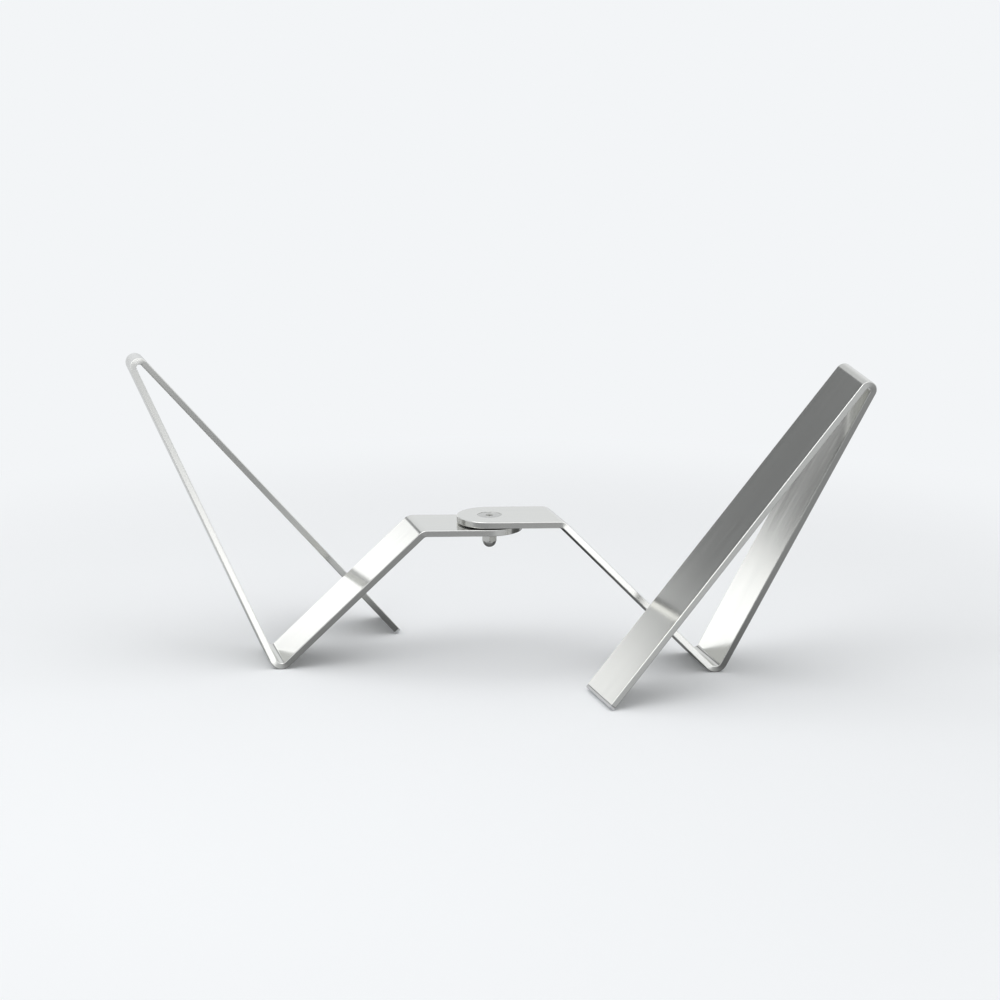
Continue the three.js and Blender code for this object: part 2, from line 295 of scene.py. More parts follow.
@dataclass(frozen=True)
class TurnedSteel:
    """A steel face left by a lathe tool: fine rings about the pivot, brighter on polished pieces.

    The eye gets tight concentric lines that break a highlight into a bow-tie, and slightly duller
    patches where the piece was handled.
    """

    name: str = "turned_stainless"
    colour: str = "C2C2BF"
    roughness: float = 0.24
    ring_spacing_mm: float = 0.22          # real tool feed is about 0.08 mm, drawn coarser to show
    ring_depth_mm: float = 0.0025
    patch_size_mm: float = 4
    patch_reach: Span = (0.3, 0.7)
    tone_play: Span = (0.93, 1.06)
    roughness_play: Span = (-0.05, 0.07)

    def build(self) -> bpy.types.Material:
        """Builds the material on Object coordinates, so its rings are centred on the pivot.

        Returns:
            The material.
        """
        material, node, shader = new_material(self.name)
        place = node("ShaderNodeTexCoord").outputs["Object"]
        split = node("ShaderNodeSeparateXYZ", {"Vector": place})
        flat = node("ShaderNodeCombineXYZ", {"X": split.outputs["X"], "Y": split.outputs["Y"]})
        radius = node("ShaderNodeVectorMath", {0: flat}, operation="LENGTH").outputs["Value"]
        ring_place = node("ShaderNodeCombineXYZ", {"X": radius, "Y": split.outputs["Z"]})
        rings = node(
            "ShaderNodeTexNoise",
            {
                "Vector": ring_place, "Scale": 1 / (self.ring_spacing_mm * MM),
                "Detail": 2.0, "Roughness": 0.55,
            },
        )
        patches = node(
            "ShaderNodeTexNoise",
            {"Vector": place, "Scale": 1 / (self.patch_size_mm * MM), "Detail": 3.0},
        )
        tone = node("ShaderNodeMapRange", {"Value": rings, **spans(WHOLE_SPAN, self.tone_play)})
        colour = node(
            "ShaderNodeVectorMath", {0: srgb(self.colour)[:3], "Scale": tone}, operation="SCALE",
        )
        roughness_span = around(self.roughness, self.roughness_play)
        roughness = node(
            "ShaderNodeMapRange", {"Value": patches, **spans(self.patch_reach, roughness_span)},
        )
        relief = node(
            "ShaderNodeBump", {"Height": rings, "Strength": 1.0, "Distance": self.ring_depth_mm * MM},
        )
        fill(shader, {"Base Color": colour, "Roughness": roughness, "Normal": relief, "Metallic": 1.0})
        return material


@dataclass(frozen=True)
class MouldedPolymer:
    """A plain polymer with a fine moulded or ground skin, scuffed paler along its edges.

    The eye gets a matt, faintly mottled surface with tiny pits, and a slight sheen on acetal.
    """

    name: str
    colour: str
    scuff_colour: str
    roughness: float
    grain_mm: float
    grain_depth_mm: float
    mottle_grains: float = 14              # how many grains a mottled patch measures
    tone_play: Span = (0.85, 1.15)
    roughness_play: Span = (-0.08, 0.08)

    def build(self) -> bpy.types.Material:
        """Builds the material on Object coordinates, with scuffs from the edge attribute.

        Returns:
            The material.
        """
        material, node, shader = new_material(self.name)
        place = node("ShaderNodeTexCoord").outputs["Object"]
        edge = node("ShaderNodeAttribute", attribute_name="edge").outputs["Fac"]
        grain = node(
            "ShaderNodeTexNoise",
            {"Vector": place, "Scale": 1 / (self.grain_mm * MM), "Detail": 4.0, "Roughness": 0.65},
        )
        mottle = node(
            "ShaderNodeTexNoise",
            {"Vector": place, "Scale": 1 / (self.grain_mm * self.mottle_grains * MM), "Detail": 3.0},
        )
        scuff = node("ShaderNodeMath", {0: edge, 1: mottle}, operation="MULTIPLY")
        colour = node(
            "ShaderNodeMix",
            {"Factor": scuff, COLOUR_A: srgb(self.colour), COLOUR_B: srgb(self.scuff_colour)},
            data_type="RGBA",
        ).outputs[COLOUR_OUT]
        tone = node("ShaderNodeMapRange", {"Value": mottle, **spans(WHOLE_SPAN, self.tone_play)})
        mottled = node("ShaderNodeVectorMath", {0: colour, "Scale": tone}, operation="SCALE")
        roughness_span = around(self.roughness, self.roughness_play)
        roughness = node("ShaderNodeMapRange", {"Value": grain, **spans(WHOLE_SPAN, roughness_span)})
        pits = node(
            "ShaderNodeBump", {"Height": grain, "Strength": 1.0, "Distance": self.grain_depth_mm * MM},
        )
        fill(shader, {"Base Color": mottled, "Roughness": roughness, "Normal": pits})
        return material


class Finish(Enum):
    """The finishes on the stand, each with its recipe."""

    STRAP = BrushedStainless()
    SCREW = TurnedSteel()
    NUT = TurnedSteel(name="polished_stainless_nut", colour="CDCDCA", roughness=0.16, ring_depth_mm=0.001)
    WASHER = TurnedSteel(name="tumbled_stainless_washer", colour="B4B4B1", roughness=0.34)
    SPRING = TurnedSteel(name="phosphated_spring_steel", colour="5F6063", roughness=0.46)
    ACETAL = MouldedPolymer("moulded_acetal", "1E1E20", "4A4A4C", 0.42, 0.35, 0.004)
    PAD = MouldedPolymer("ground_elastomer", "BFC0C1", "D4D5D5", 0.72, 0.25, 0.012)
    BOND = MouldedPolymer("cured_adhesive", "1A1A1B", "1A1A1B", 0.6, 0.4, 0.006)


# ---- Mesh drafts


@dataclass
class Draft:
    """Vertices and faces of one mesh in the making. Points that coincide are shared."""

    points: list[Point] = field(default_factory=list)
    faces: list[tuple[int, ...]] = field(default_factory=list)
    edge_weights: list[float] = field(default_factory=list)
    side_weights: list[float] = field(default_factory=list)
    _index: dict[tuple[int, int, int], int] = field(default_factory=dict)

    def point(self, place: Sequence[float], edge: float = 0.0, side: float = 0.0) -> int:
        """Adds a point, or finds the one already there.

        Args:
            place: The point's three coordinates.
            edge: 1 on a rounded edge and 0 on a face.
            side: 1 on the cut side of the sheet and 0 on its rolled faces.

        Returns:
            The point's number.
        """
        key = tuple(math.floor(value / MERGE_GRID + MERGE_SHIFT) for value in place)
        if key not in self._index:
            self._index[key] = len(self.points)
            self.points.append((place[0], place[1], place[2]))
            self.edge_weights.append(edge)
            self.side_weights.append(side)
        return self._index[key]

    def face(self, *corners: int) -> None:
        """Adds a face, leaving out corners that fell together.

        Args:
            *corners: Point numbers round the face.
        """
        distinct = [c for i, c in enumerate(corners) if c != corners[i - 1]]
        if len(distinct) >= 3:
            self.faces.append(tuple(distinct))

    def skin(self, rows: Sequence[Sequence[int]], closed: bool = True, turned: bool = False) -> None:
        """Fills the strips between rows of the same length.

        Args:
            rows: Point numbers of each row.
            closed: Whether the rows are rings.
            turned: Whether the faces look the other way.
        """
        for first, second in zip(rows, rows[1:]):
            if turned:
                first, second = second, first
            count = len(first)
            for i in range(count if closed else count - 1):
                j = (i + 1) % count
                self.face(first[i], first[j], second[j], second[i])

    def mesh(self, name: str) -> bpy.types.Mesh:
        """Makes the Blender mesh, smooth, with its two point attributes.

        Args:
            name: The mesh's name.

        Returns:
            The mesh.
        """
        mesh = bpy.data.meshes.new(name)
        mesh.from_pydata(self.points, [], self.faces)
        for label, weights in (("edge", self.edge_weights), ("cut_side", self.side_weights)):
            attribute = mesh.attributes.new(label, "FLOAT", "POINT")
            attribute.data.foreach_set("value", weights)
        mesh.shade_smooth()
        mesh.update()
        return mesh


def show(mesh: bpy.types.Mesh, name: str) -> Piece:
    """Puts a mesh in the scene.

    Args:
        mesh: The mesh.
        name: The name of the object that holds it.

    Returns:
        The object, at the origin.
    """
    piece = bpy.data.objects.new(name, mesh)
    bpy.context.scene.collection.objects.link(piece)
    return piece


# ---- The folded strap


@dataclass(frozen=True)
class StrapSizes:
    """Driving sizes of the strap. Those that the solid has too are the same."""

    width: float = 46 * MM
    thickness: float = 4.5 * MM
    edge_radius: float = 0.45 * MM
    bend_radius: float = 3.5 * MM
    crown_radius: float = 2 * MM
    crease_turn: float = math.radians(15.2)
    skew: float = math.radians(12.9)
    inner_slope: float = math.radians(46.15)
    outer_slope: float = math.radians(67.4)
    crown_turn: float = math.radians(162)
    floor_reach: float = 146.2 * MM
    outer_leg_length: float = 235.1 * MM
    tab_top: float = 107.5 * MM
    flange_thickness: float = 0.8 * MM
    stack_gap: float = 0.05 * MM
    pad_thickness: float = 2 * MM
    bond_gap: float = 0.3 * MM

    @property
    def bend_mid(self) -> float:
        """Radius of the sheet's middle surface in the tab and floor bends."""
        return self.bend_radius + self.thickness / 2

    @property
    def crown_mid(self) -> float:
        """Radius of the sheet's middle surface in the crown bend."""
        return self.crown_radius + self.thickness / 2

    @property
    def upper_tab_middle(self) -> float:
        """Height of the upper tab's middle surface."""
        return self.tab_top - self.thickness / 2

    @property
    def lower_tab_middle(self) -> float:
        """Height of the lower tab's middle surface."""
        spacer = self.flange_thickness + 2 * self.stack_gap
        return self.upper_tab_middle - self.thickness - spacer


@dataclass(frozen=True)
class Crease:
    """One bend of the blank.

    Attributes:
        at: Where the bend starts on the blank's centreline.
        slant: How far its rulings lean from square to the strap.
        turn: How far the strap rolls there, positive towards the top face.
        radius: Radius of the middle surface.
    """

    at: float
    slant: float
    turn: float
    radius: float

    @property
    def end(self) -> float:
        """Where the bend ends on the blank's centreline."""
        return self.at + self.radius * abs(self.turn) / math.cos(self.slant)

    def roll(self) -> Matrix:
        """Works out how the blank beyond the bend moves when it is folded.

        Returns:
            The move from flat to folded.
        """
        forward = Vector((math.cos(self.slant), math.sin(self.slant), 0))
        ruling = Vector((-math.sin(self.slant), math.cos(self.slant), 0))
        centre = Vector((self.at, 0, math.copysign(self.radius, self.turn)))
        slide = Matrix.Translation(-forward * self.radius * abs(self.turn))
        spin = Matrix.Rotation(-self.turn, 4, ruling)
        return Matrix.Translation(centre) @ spin @ Matrix.Translation(-centre) @ slide


@dataclass(frozen=True)
class FoldPlan:
    """Where one strap is folded and how it lies in the stand.

    Attributes:
        creases: The tab, floor and crown bends in order from the pivot.
        tab_offset: How far the blank's centreline lies beside the pivot.
        lay: The move from the tab's flat blank into the stand.
        strap_end: Length of the blank's centreline from the pivot to the square end.
        leg_end: The same, to the outer face of the pad.
    """

    creases: tuple[Crease, Crease, Crease]
    tab_offset: float
    lay: Matrix
    strap_end: float
    leg_end: float


class FoldPlanner:
    """Works out a strap's folds from its driving sizes."""

    WIDEST_SLANT = math.radians(20)
    HALVINGS = 60

    def __init__(self, sizes: StrapSizes) -> None:
        """Keeps the strap's sizes."""
        self.sizes = sizes

    def inner_run(self, tab_middle: float) -> tuple[float, float, float]:
        """Lengths square to the creases between the pivot and the floor bend.

        Args:
            tab_middle: Height of the tab's middle surface.

        Returns:
            The level length, the sloping length and the length unrolled.
        """
        s = self.sizes
        bend_drop = s.bend_mid * (1 - math.cos(s.inner_slope))
        slope = (tab_middle - s.thickness / 2 - 2 * bend_drop) / math.sin(s.inner_slope)
        level = s.floor_reach - 2 * s.bend_mid * math.sin(s.inner_slope)
        level -= slope * math.cos(s.inner_slope)
        return level, slope, level + s.bend_mid * s.inner_slope + slope

    def level_foot_slant(self, outer_leg: Matrix, at: float) -> float:
        """The slant of the crown bend that leaves the foot's edge level.

        Args:
            outer_leg: The move that places the outer leg.
            at: Where the crown bend starts.

        Returns:
            The slant.
        """
        s = self.sizes

        def rise(slant: float) -> float:
            """How much the foot's edge climbs from front to back at this slant."""
            crown = Crease(at, slant, s.crown_turn, s.crown_mid)
            return ((outer_leg @ crown.roll()).to_3x3() @ Vector((0, 1, 0))).z

        low = 0.0
        high = self.WIDEST_SLANT
        for _ in range(self.HALVINGS):
            middle = (low + high) / 2
            if rise(low) * rise(middle) <= 0:
                high = middle
            else:
                low = middle
        return low

    def plan(self, tab_middle: float, half_turned: bool) -> FoldPlan:
        """Plans one strap.

        Args:
            tab_middle: Height of the tab's middle surface.
            half_turned: Whether the strap is the left-hand one, turned half a turn.

        Returns:
            The fold plan.
        """
        s = self.sizes
        average = (s.upper_tab_middle + s.lower_tab_middle) / 2
        level, slope, unrolled = self.inner_run(tab_middle)
        offset = (unrolled - self.inner_run(average)[2]) * math.sin(s.skew)
        heading = Matrix.Rotation(s.crease_turn - s.skew, 4, "Z")
        lay = Matrix.Translation((0, 0, tab_middle)) @ heading @ Matrix.Translation((0, offset, 0))

        tab_at = (level - offset * math.sin(s.skew)) / math.cos(s.skew)
        tab = Crease(tab_at, s.skew, -s.inner_slope, s.bend_mid)
        floor_at = tab.end + slope / math.cos(s.skew)
        floor = Crease(floor_at, s.skew, s.inner_slope + s.outer_slope, s.bend_mid)
        outer_leg = lay @ tab.roll() @ floor.roll()
        crown_at = floor_at + s.outer_leg_length
        slant = self.level_foot_slant(outer_leg, crown_at)
        crown = Crease(crown_at, slant, s.crown_turn, s.crown_mid)

        long_leg = outer_leg @ crown.roll()
        turned = long_leg.to_3x3()
        lowest_corner = abs((turned @ Vector((0, 0, 1))).z) * s.thickness / 2
        leg_end = (long_leg.translation.z - lowest_corner) / -(turned @ Vector((1, 0, 0))).z
        if half_turned:
            lay = Matrix.Rotation(math.pi, 4, "Z") @ lay
        strap_end = leg_end - s.pad_thickness - s.bond_gap
        return FoldPlan((tab, floor, crown), offset, lay, strap_end, leg_end)


class FoldTree:
    """The Geometry Nodes tree that folds a flat blank into a strap."""

    CREASES = ("Crown", "Floor", "Tab")
    SIZES = ("At", "Slant", "Turn", "Middle Radius")

    def __init__(self) -> None:
        """Builds the tree and the group for one bend."""
        self.bend = self._bend_group()
        self.tree = self._strap_group()

    @staticmethod
    def _bend_group() -> Tree:
        """Builds the group that rolls everything past one crease.

        Returns:
            The node group.
        """
        tree, node = new_group("roll_at_crease", dict.fromkeys(FoldTree.SIZES, "Float"))
        given = node("NodeGroupInput").outputs
        at, slant, turn, radius = (given[size] for size in FoldTree.SIZES)

        cos = node("ShaderNodeMath", {0: slant}, operation="COSINE")
        sin = node("ShaderNodeMath", {0: slant}, operation="SINE")
        back = node("ShaderNodeMath", {0: sin, 1: -1.0}, operation="MULTIPLY")
        forward = node("ShaderNodeCombineXYZ", {"X": cos, "Y": sin})
        ruling = node("ShaderNodeCombineXYZ", {"X": back, "Y": cos})
        side = node("ShaderNodeMath", {0: turn}, operation="SIGN")
        lift = node("ShaderNodeMath", {0: side, 1: radius}, operation="MULTIPLY")
        start = node("ShaderNodeCombineXYZ", {"X": at})
        centre = node("ShaderNodeCombineXYZ", {"X": at, "Z": lift})

        blank = node(
            "GeometryNodeInputNamedAttribute", {"Name": "blank"}, data_type="FLOAT_VECTOR",
        ).outputs["Attribute"]
        past = node("ShaderNodeVectorMath", {0: blank, 1: start}, operation="SUBTRACT")
        distance = node(
            "ShaderNodeVectorMath", {0: past, 1: forward}, operation="DOT_PRODUCT",
        ).outputs["Value"]
        full_turn = node("ShaderNodeMath", {0: turn}, operation="ABSOLUTE")
        rolled = node("ShaderNodeMath", {0: distance, 1: radius}, operation="DIVIDE")
        not_before = node("ShaderNodeMath", {0: rolled, 1: 0.0}, operation="MAXIMUM")
        turned = node("ShaderNodeMath", {0: not_before, 1: full_turn}, operation="MINIMUM")
        arc = node("ShaderNodeMath", {0: turned, 1: radius}, operation="MULTIPLY")
        slide = node("ShaderNodeVectorMath", {0: forward, "Scale": arc}, operation="SCALE")
        position = node("GeometryNodeInputPosition")
        slid = node("ShaderNodeVectorMath", {0: position, 1: slide}, operation="SUBTRACT")
        signed = node("ShaderNodeMath", {0: turned, 1: side}, operation="MULTIPLY")
        angle = node("ShaderNodeMath", {0: signed, 1: -1.0}, operation="MULTIPLY")
        spun = node(
            "ShaderNodeVectorRotate",
            {"Vector": slid, "Center": centre, "Axis": ruling, "Angle": angle},
            rotation_type="AXIS_ANGLE",
        )
        placed = node("GeometryNodeSetPosition", {"Geometry": given["Geometry"], "Position": spun})
        node("NodeGroupOutput", {"Geometry": placed})
        return tree

    def _strap_group(self) -> Tree:
        """Builds the tree that makes all three bends and lays the strap in the stand.

        Returns:
            The node group.
        """
        sizes = [f"{crease} {size}" for crease in self.CREASES for size in self.SIZES]
        lay = {"Place": "Vector", "Heading": "Float", "Finish": "Material"}
        tree, node = new_group("fold_strap", dict.fromkeys(sizes, "Float") | lay)
        given = node("NodeGroupInput").outputs

        position = node("GeometryNodeInputPosition")
        geometry = node(
            "GeometryNodeStoreNamedAttribute",
            {"Geometry": given["Geometry"], "Name": "blank", "Value": position},
            data_type="FLOAT_VECTOR", domain="POINT",
        )
        for crease in self.CREASES:
            inputs = {size: given[f"{crease} {size}"] for size in self.SIZES}
            inputs["Geometry"] = geometry
            geometry = node("GeometryNodeGroup", inputs, node_tree=self.bend)
        turned = node("ShaderNodeCombineXYZ", {"Z": given["Heading"]})
        laid = node(
            "GeometryNodeTransform",
            {"Geometry": geometry, "Translation": given["Place"], "Rotation": turned},
        )
        real = node("GeometryNodeRealizeInstances", {"Geometry": laid})
        dressed = node("GeometryNodeSetMaterial", {"Geometry": real, "Material": given["Finish"]})
        node("NodeGroupOutput", {"Geometry": dressed})
        return tree

    def fold(self, piece: Piece, plan: FoldPlan, finish: bpy.types.Material) -> None:
        """Folds a flat piece and keeps the result as its plain mesh.

        Args:
            piece: An object whose mesh lies flat in blank coordinates.
            plan: Where the blank is folded.
            finish: The material that the folded piece wears.
        """
        modifier = piece.modifiers.new("fold", "NODES")
        modifier.node_group = self.tree
        sizes: dict[str, object] = {"Finish": finish, "Place": plan.lay.translation[:]}
        sizes["Heading"] = plan.lay.to_euler().z
        for name, crease in zip(self.CREASES, reversed(plan.creases)):
            values = (crease.at, crease.slant, crease.turn, crease.radius)
            sizes.update({f"{name} {size}": value for size, value in zip(self.SIZES, values)})
        for item in self.tree.interface.items_tree:
            if item.in_out == "INPUT" and item.name in sizes:
                modifier[item.identifier] = sizes[item.name]
        bpy.context.view_layer.update()
        evaluated = piece.evaluated_get(bpy.context.evaluated_depsgraph_get())
        folded = bpy.data.meshes.new_from_object(evaluated)
        piece.modifiers.remove(modifier)
        folded.name = piece.name
        folded.set_sharp_from_angle(angle=SHARP_ANGLE)
        piece.data = folded


class StrapBlank:
    """Draws a strap, its bond line and its pad flat, before they are folded."""

    EDGE_STEPS = 5
    FACE_COLUMNS = 16
    ROUND_STEPS = 64
    STRAIGHT_STEPS = 6
    BEND_STEP = math.radians(2.5)
    HOLD = 0.4 * MM              # rows this near an edge keep the flat beside it flat
    PATCH_LENGTH = 27 * MM
    FACE_SHARES = (0.0, 0.35, 0.7, 1.0)    # rings on the tab's face, from its bore to its outline

    def __init__(self, sizes: StrapSizes, plan: FoldPlan) -> None:
        """Keeps the sizes and the fold plan."""
        self.sizes = sizes
        self.plan = plan

    def _columns(self) -> list[float]:
        """Spaces the points across a rolled face.

        Returns:
            Their places, from one edge's rounding to the other's.
        """
        half = self.sizes.width / 2 - self.sizes.edge_radius
        inner = half - self.HOLD
        steps = [inner * (2 * i / self.FACE_COLUMNS - 1) for i in range(self.FACE_COLUMNS + 1)]
        return [-half, *steps, half]

    def _rounding(self) -> list[tuple[float, float, float, float]]:
        """The edge from the top face to the bottom face.

        Returns:
            For each point: inset from the side, lift, edge weight and side weight.
        """
        radius = self.sizes.edge_radius
        half = self.sizes.thickness / 2
        points = []
        for i in range(1, self.EDGE_STEPS + 1):
            angle = math.pi / 2 * i / self.EDGE_STEPS
            inset = radius * (1 - math.sin(angle))
            weight = math.sin(2 * angle)
            points.append((inset, half - radius * (1 - math.cos(angle)), weight, i / self.EDGE_STEPS))
        flat = half - radius
        points.append((0.0, flat - self.HOLD, 0.0, 1.0))
        points.append((0.0, self.HOLD - flat, 0.0, 1.0))
        painted_reflection_level = [(inset, -lift, edge, side) for inset, lift, edge, side in points[: self.EDGE_STEPS]]
        return points + painted_reflection_level[::-1]

    def section(self, draft: Draft, at: float, slant: float, inset: float = 0.0) -> list[int]:
        """Adds one ring of points round the blank.

        Args:
            draft: The draft that gets the points.
            at: Where the ring crosses the centreline.
            slant: How far the ring leans from square.
            inset: How far the whole ring is drawn in from the strap's surface.

        Returns:
            Point numbers round the section, from the top face's -across edge.
        """
        s = self.sizes
        half = s.thickness / 2
        top = [(across, half, 0.0, 0.0) for across in self._columns()]
        far = [(s.width / 2 - i, lift, edge, side) for i, lift, edge, side in self._rounding()]
        bottom = [(across, -half, 0.0, 0.0) for across in reversed(self._columns())]
        near = [(-across, lift, edge, side) for across, lift, edge, side in reversed(far)]
        ring = []
        shrink_across = 1 - inset / (s.width / 2)
        shrink_lift = 1 - inset / half
        for across, lift, edge, side in top + far + bottom + near:
            across *= shrink_across
            lift *= shrink_lift
            ring.append(draft.point((at - math.tan(slant) * across, across, lift), edge, side))
        return ring

    def _rows(self) -> list[tuple[float, float]]:
        """Spaces the rings along the blank past the tab's patch.

        Returns:
            The place and the slant of each.
        """
        rows = []
        for crease in self.plan.creases:
            rows.append((crease.at - self.HOLD, crease.slant))
            steps = math.ceil(abs(crease.turn) / self.BEND_STEP)
            for i in range(steps + 1):
                rows.append((crease.at + (crease.end - crease.at) * i / steps, crease.slant))
            rows.append((crease.end + self.HOLD, crease.slant))
        rows.append((self.plan.strap_end, 0.0))
        return rows

    def _outline(self) -> list[tuple[Vector, Vector]]:
        """The tab patch's outline at the rounding's inner line.

        Returns:
            Points with their outward directions: up the front line, back along the far side, round
            the end and forward along the near side. Between the front line's ends it is zero.
        """
        half = self.sizes.width / 2 - self.sizes.edge_radius
        front = [(Vector((self.PATCH_LENGTH, across)), Vector((0, 0))) for across in self._columns()]
        front[0] = (front[0][0], Vector((0, -1)))
        front[-1] = (front[-1][0], Vector((0, 1)))
        outline = list(front)
        for i in range(1, self.STRAIGHT_STEPS):
            along = self.PATCH_LENGTH * (1 - i / self.STRAIGHT_STEPS)
            outline.append((Vector((along, half)), Vector((0, 1))))
        for i in range(self.ROUND_STEPS + 1):
            angle = math.pi / 2 + math.pi * i / self.ROUND_STEPS
            out = Vector((math.cos(angle), math.sin(angle)))
            outline.append((out * half, out))
        for i in range(1, self.STRAIGHT_STEPS):
            along = self.PATCH_LENGTH * i / self.STRAIGHT_STEPS
            outline.append((Vector((along, -half)), Vector((0, -1))))
        return outline

    def _tab_patch(self, draft: Draft, bore: Sequence[BoreStep]) -> None:
        """Adds the round end of the tab with its bore.

        Args:
            draft: The draft that gets the faces.
            bore: The bore's profile from the top face down.
        """
        half = self.sizes.thickness / 2
        pivot = Vector((0, -self.plan.tab_offset))
        outline = self._outline()
        columns = len(self._columns())
        spokes = [place - pivot for place, _ in outline]

        def ring(radius: float, lift: float, share: float = 0.0, hold: float = 0.0) -> list[Point]:
            """Points on the spokes between the bore and the outline.

            Args:
                radius: The bore's radius.
                lift: Height of the points.
                share: How much of the way out they lie.
                hold: How much of each spoke is kept free at both ends.

            Returns:
                One point on each spoke.
            """
            places = []
            for spoke in spokes:
                reach = radius + hold + (spoke.length - radius - 2 * hold) * share
                places.append((*(pivot + spoke.normalized() * reach), lift))
            return places

        for lift, radius, order in ((half, bore[0][0], 1), (-half, bore[-1][0], -1)):
            rings = [ring(radius, lift)]
            rings += [ring(radius, lift, share, self.HOLD) for share in self.FACE_SHARES]
            rings.append([(*place, lift) for place, _ in outline])
            rows = [[draft.point(place) for place in places] for places in rings]
            draft.skin(rows[::order], turned=True)

        draft.skin([
            [draft.point(place, weight, 1.0) for place in ring(radius, lift)]
            for radius, lift, weight in bore
        ])

        rounded = outline[columns - 1 :] + outline[:1]
        radius = self.sizes.edge_radius
        rows = [[draft.point((*place, half)) for place, _ in rounded]]
        for inset, lift, edge, side in self._rounding():
            grow = radius - inset
            rows.append([draft.point((*(at + out * grow), lift), edge, side) for at, out in rounded])
        rows.append([draft.point((*place, -half)) for place, _ in rounded])
        draft.skin(rows, closed=False, turned=True)

    def strap(self, name: str, bore: Sequence[BoreStep]) -> Piece:
        """Draws the strap's blank.

        Args:
            name: The piece's name.
            bore: The bore's profile from the top face down.

        Returns:
            The flat blank.
        """
        draft = Draft()
        self._tab_patch(draft, bore)
        rings = [self.section(draft, self.PATCH_LENGTH, 0.0)]
        rings += [self.section(draft, at, slant) for at, slant in self._rows()]
        draft.skin(rings, turned=True)
        draft.face(*reversed(rings[-1]))
        return self._finish(draft, name)

    def slab(self, name: str, start: float, end: float, inset: float, rounding: float) -> Piece:
        """Draws a short length of the blank with rounded ends, for the pad and its bond line.

        Args:
            name: The piece's name.
            start: Where it starts on the centreline.
            end: Where it ends.
            inset: How far it is drawn in from the strap's surface.
            rounding: Radius of its end edges.

        Returns:
            The flat piece.
        """
        draft = Draft()
        places = []
        for i in range(self.EDGE_STEPS + 1):
            angle = math.pi / 2 * i / self.EDGE_STEPS
            places.append((rounding * (1 - math.cos(angle)), inset + rounding * (1 - math.sin(angle))))
        rows = [(start + along, drawn) for along, drawn in places]
        rows += [(end - along, drawn) for along, drawn in reversed(places)]
        rings = [self.section(draft, at, 0.0, drawn) for at, drawn in rows]
        draft.face(*rings[0])
        draft.skin(rings, turned=True)
        draft.face(*reversed(rings[-1]))
        return self._finish(draft, name)

    @staticmethod
    def _finish(draft: Draft, name: str) -> Piece:
        """Turns a draft into an object whose UV map is the blank's own plan, in metres.

        Args:
            draft: The draft.
            name: The piece's name.

        Returns:
            The piece.
        """
        mesh = draft.mesh(name)
        layer = mesh.uv_layers.new(name="blank_uv")
        for loop in mesh.loops:
            along, across, lift = mesh.vertices[loop.vertex_index].co
            layer.uv[loop.index].vector = (along, across + lift)
        return show(mesh, name)


# ---- Turned pivot pieces


@dataclass(frozen=True)
class Station:
    """One ring of a turned or hexagonal form.

    Attributes:
        radius: Radius, or half the width across flats.
        height: Height of the ring, on a hexagon at the middle of its flats.
        hexagonal: Whether the ring is a hexagon.
        corner_rise: How much higher each metre further out lies, on a chamfered hexagon.
        edge: Edge weight of the ring.
    """

    radius: float
    height: float
    hexagonal: bool = False
    corner_rise: float = 0.0
    edge: float = 0.0

    def place(self, angle: float) -> Point:
        """Finds one point of the ring.

        Args:
            angle: Its angle about the pivot.

        Returns:
            The point.
        """
        radius = self.radius
        if self.hexagonal:
            sector = 2 * math.pi / HEX_SIDES
            off_flat = (angle + sector / 2) % sector - sector / 2
            radius = self.radius / math.cos(off_flat)
        height = self.height + self.corner_rise * (radius - self.radius)
        return radius * math.cos(angle), radius * math.sin(angle), height


class Turning:
    """Builds closed bodies from a run of stations about the pivot."""

    SEGMENTS = 144
    CORNER_STEPS = 4
    FLAT_SHARE = 0.45            # a rounding takes at most this much of the flat beside it
    LEAST_SWEEP = 1e-6           # a corner that turns less than this stays straight

    def soften(self, corners: Sequence[Span], radius: float, closed: bool) -> list[Station]:
        """Rounds the corners of a turned profile.

        Args:
            corners: Corners as radius and height.
            radius: The rounding, cut back on short flats.
            closed: Whether the profile closes on itself, or runs from axis to axis.

        Returns:
            Stations along the rounded profile.
        """
        count = len(corners)
        stations = []
        for i, corner in enumerate(corners):
            here = Vector(corner)
            if not closed and i in (0, count - 1):
                stations.append(Station(here.x, here.y))
                continue
            before = Vector(corners[i - 1]) - here
            after = Vector(corners[(i + 1) % count]) - here
            half_angle = before.angle(after) / 2
            shortest = min(before.length, after.length)
            reach = min(radius / math.tan(half_angle), shortest * self.FLAT_SHARE)
            real = reach * math.tan(half_angle)
            start = here + before.normalized() * reach
            end = here + after.normalized() * reach
            inward = (before.normalized() + after.normalized()).normalized()
            middle = here + inward * (real / math.sin(half_angle))
            first = start - middle
            last = end - middle
            sweep = first.angle(last) if first.length > 0 else 0.0
            for step in range(self.CORNER_STEPS + 1):
                share = step / self.CORNER_STEPS
                if sweep < self.LEAST_SWEEP:
                    spot = start.lerp(end, share)
                else:
                    a = math.sin((1 - share) * sweep) / math.sin(sweep)
                    b = math.sin(share * sweep) / math.sin(sweep)
                    spot = middle + first * a + last * b
                stations.append(Station(spot.x, spot.y, edge=math.sin(math.pi * share)))
        return stations

    def body(self, name: str, stations: Sequence[Station], closed: bool) -> Piece:
        """Sweeps stations round the pivot.

        Args:
            name: The piece's name.
            stations: The profile, with its solid on the left-hand side as it is followed.
            closed: Whether the last station joins the first.

        Returns:
            The piece.
        """
        draft = Draft()
        angles = [2 * math.pi * i / self.SEGMENTS for i in range(self.SEGMENTS)]
        rings = [[draft.point(station.place(a), station.edge) for a in angles] for station in stations]
        draft.skin(rings + rings[:1] if closed else rings)
        mesh = draft.mesh(name)
        mesh.set_sharp_from_angle(angle=SHARP_ANGLE)
        return show(mesh, name)


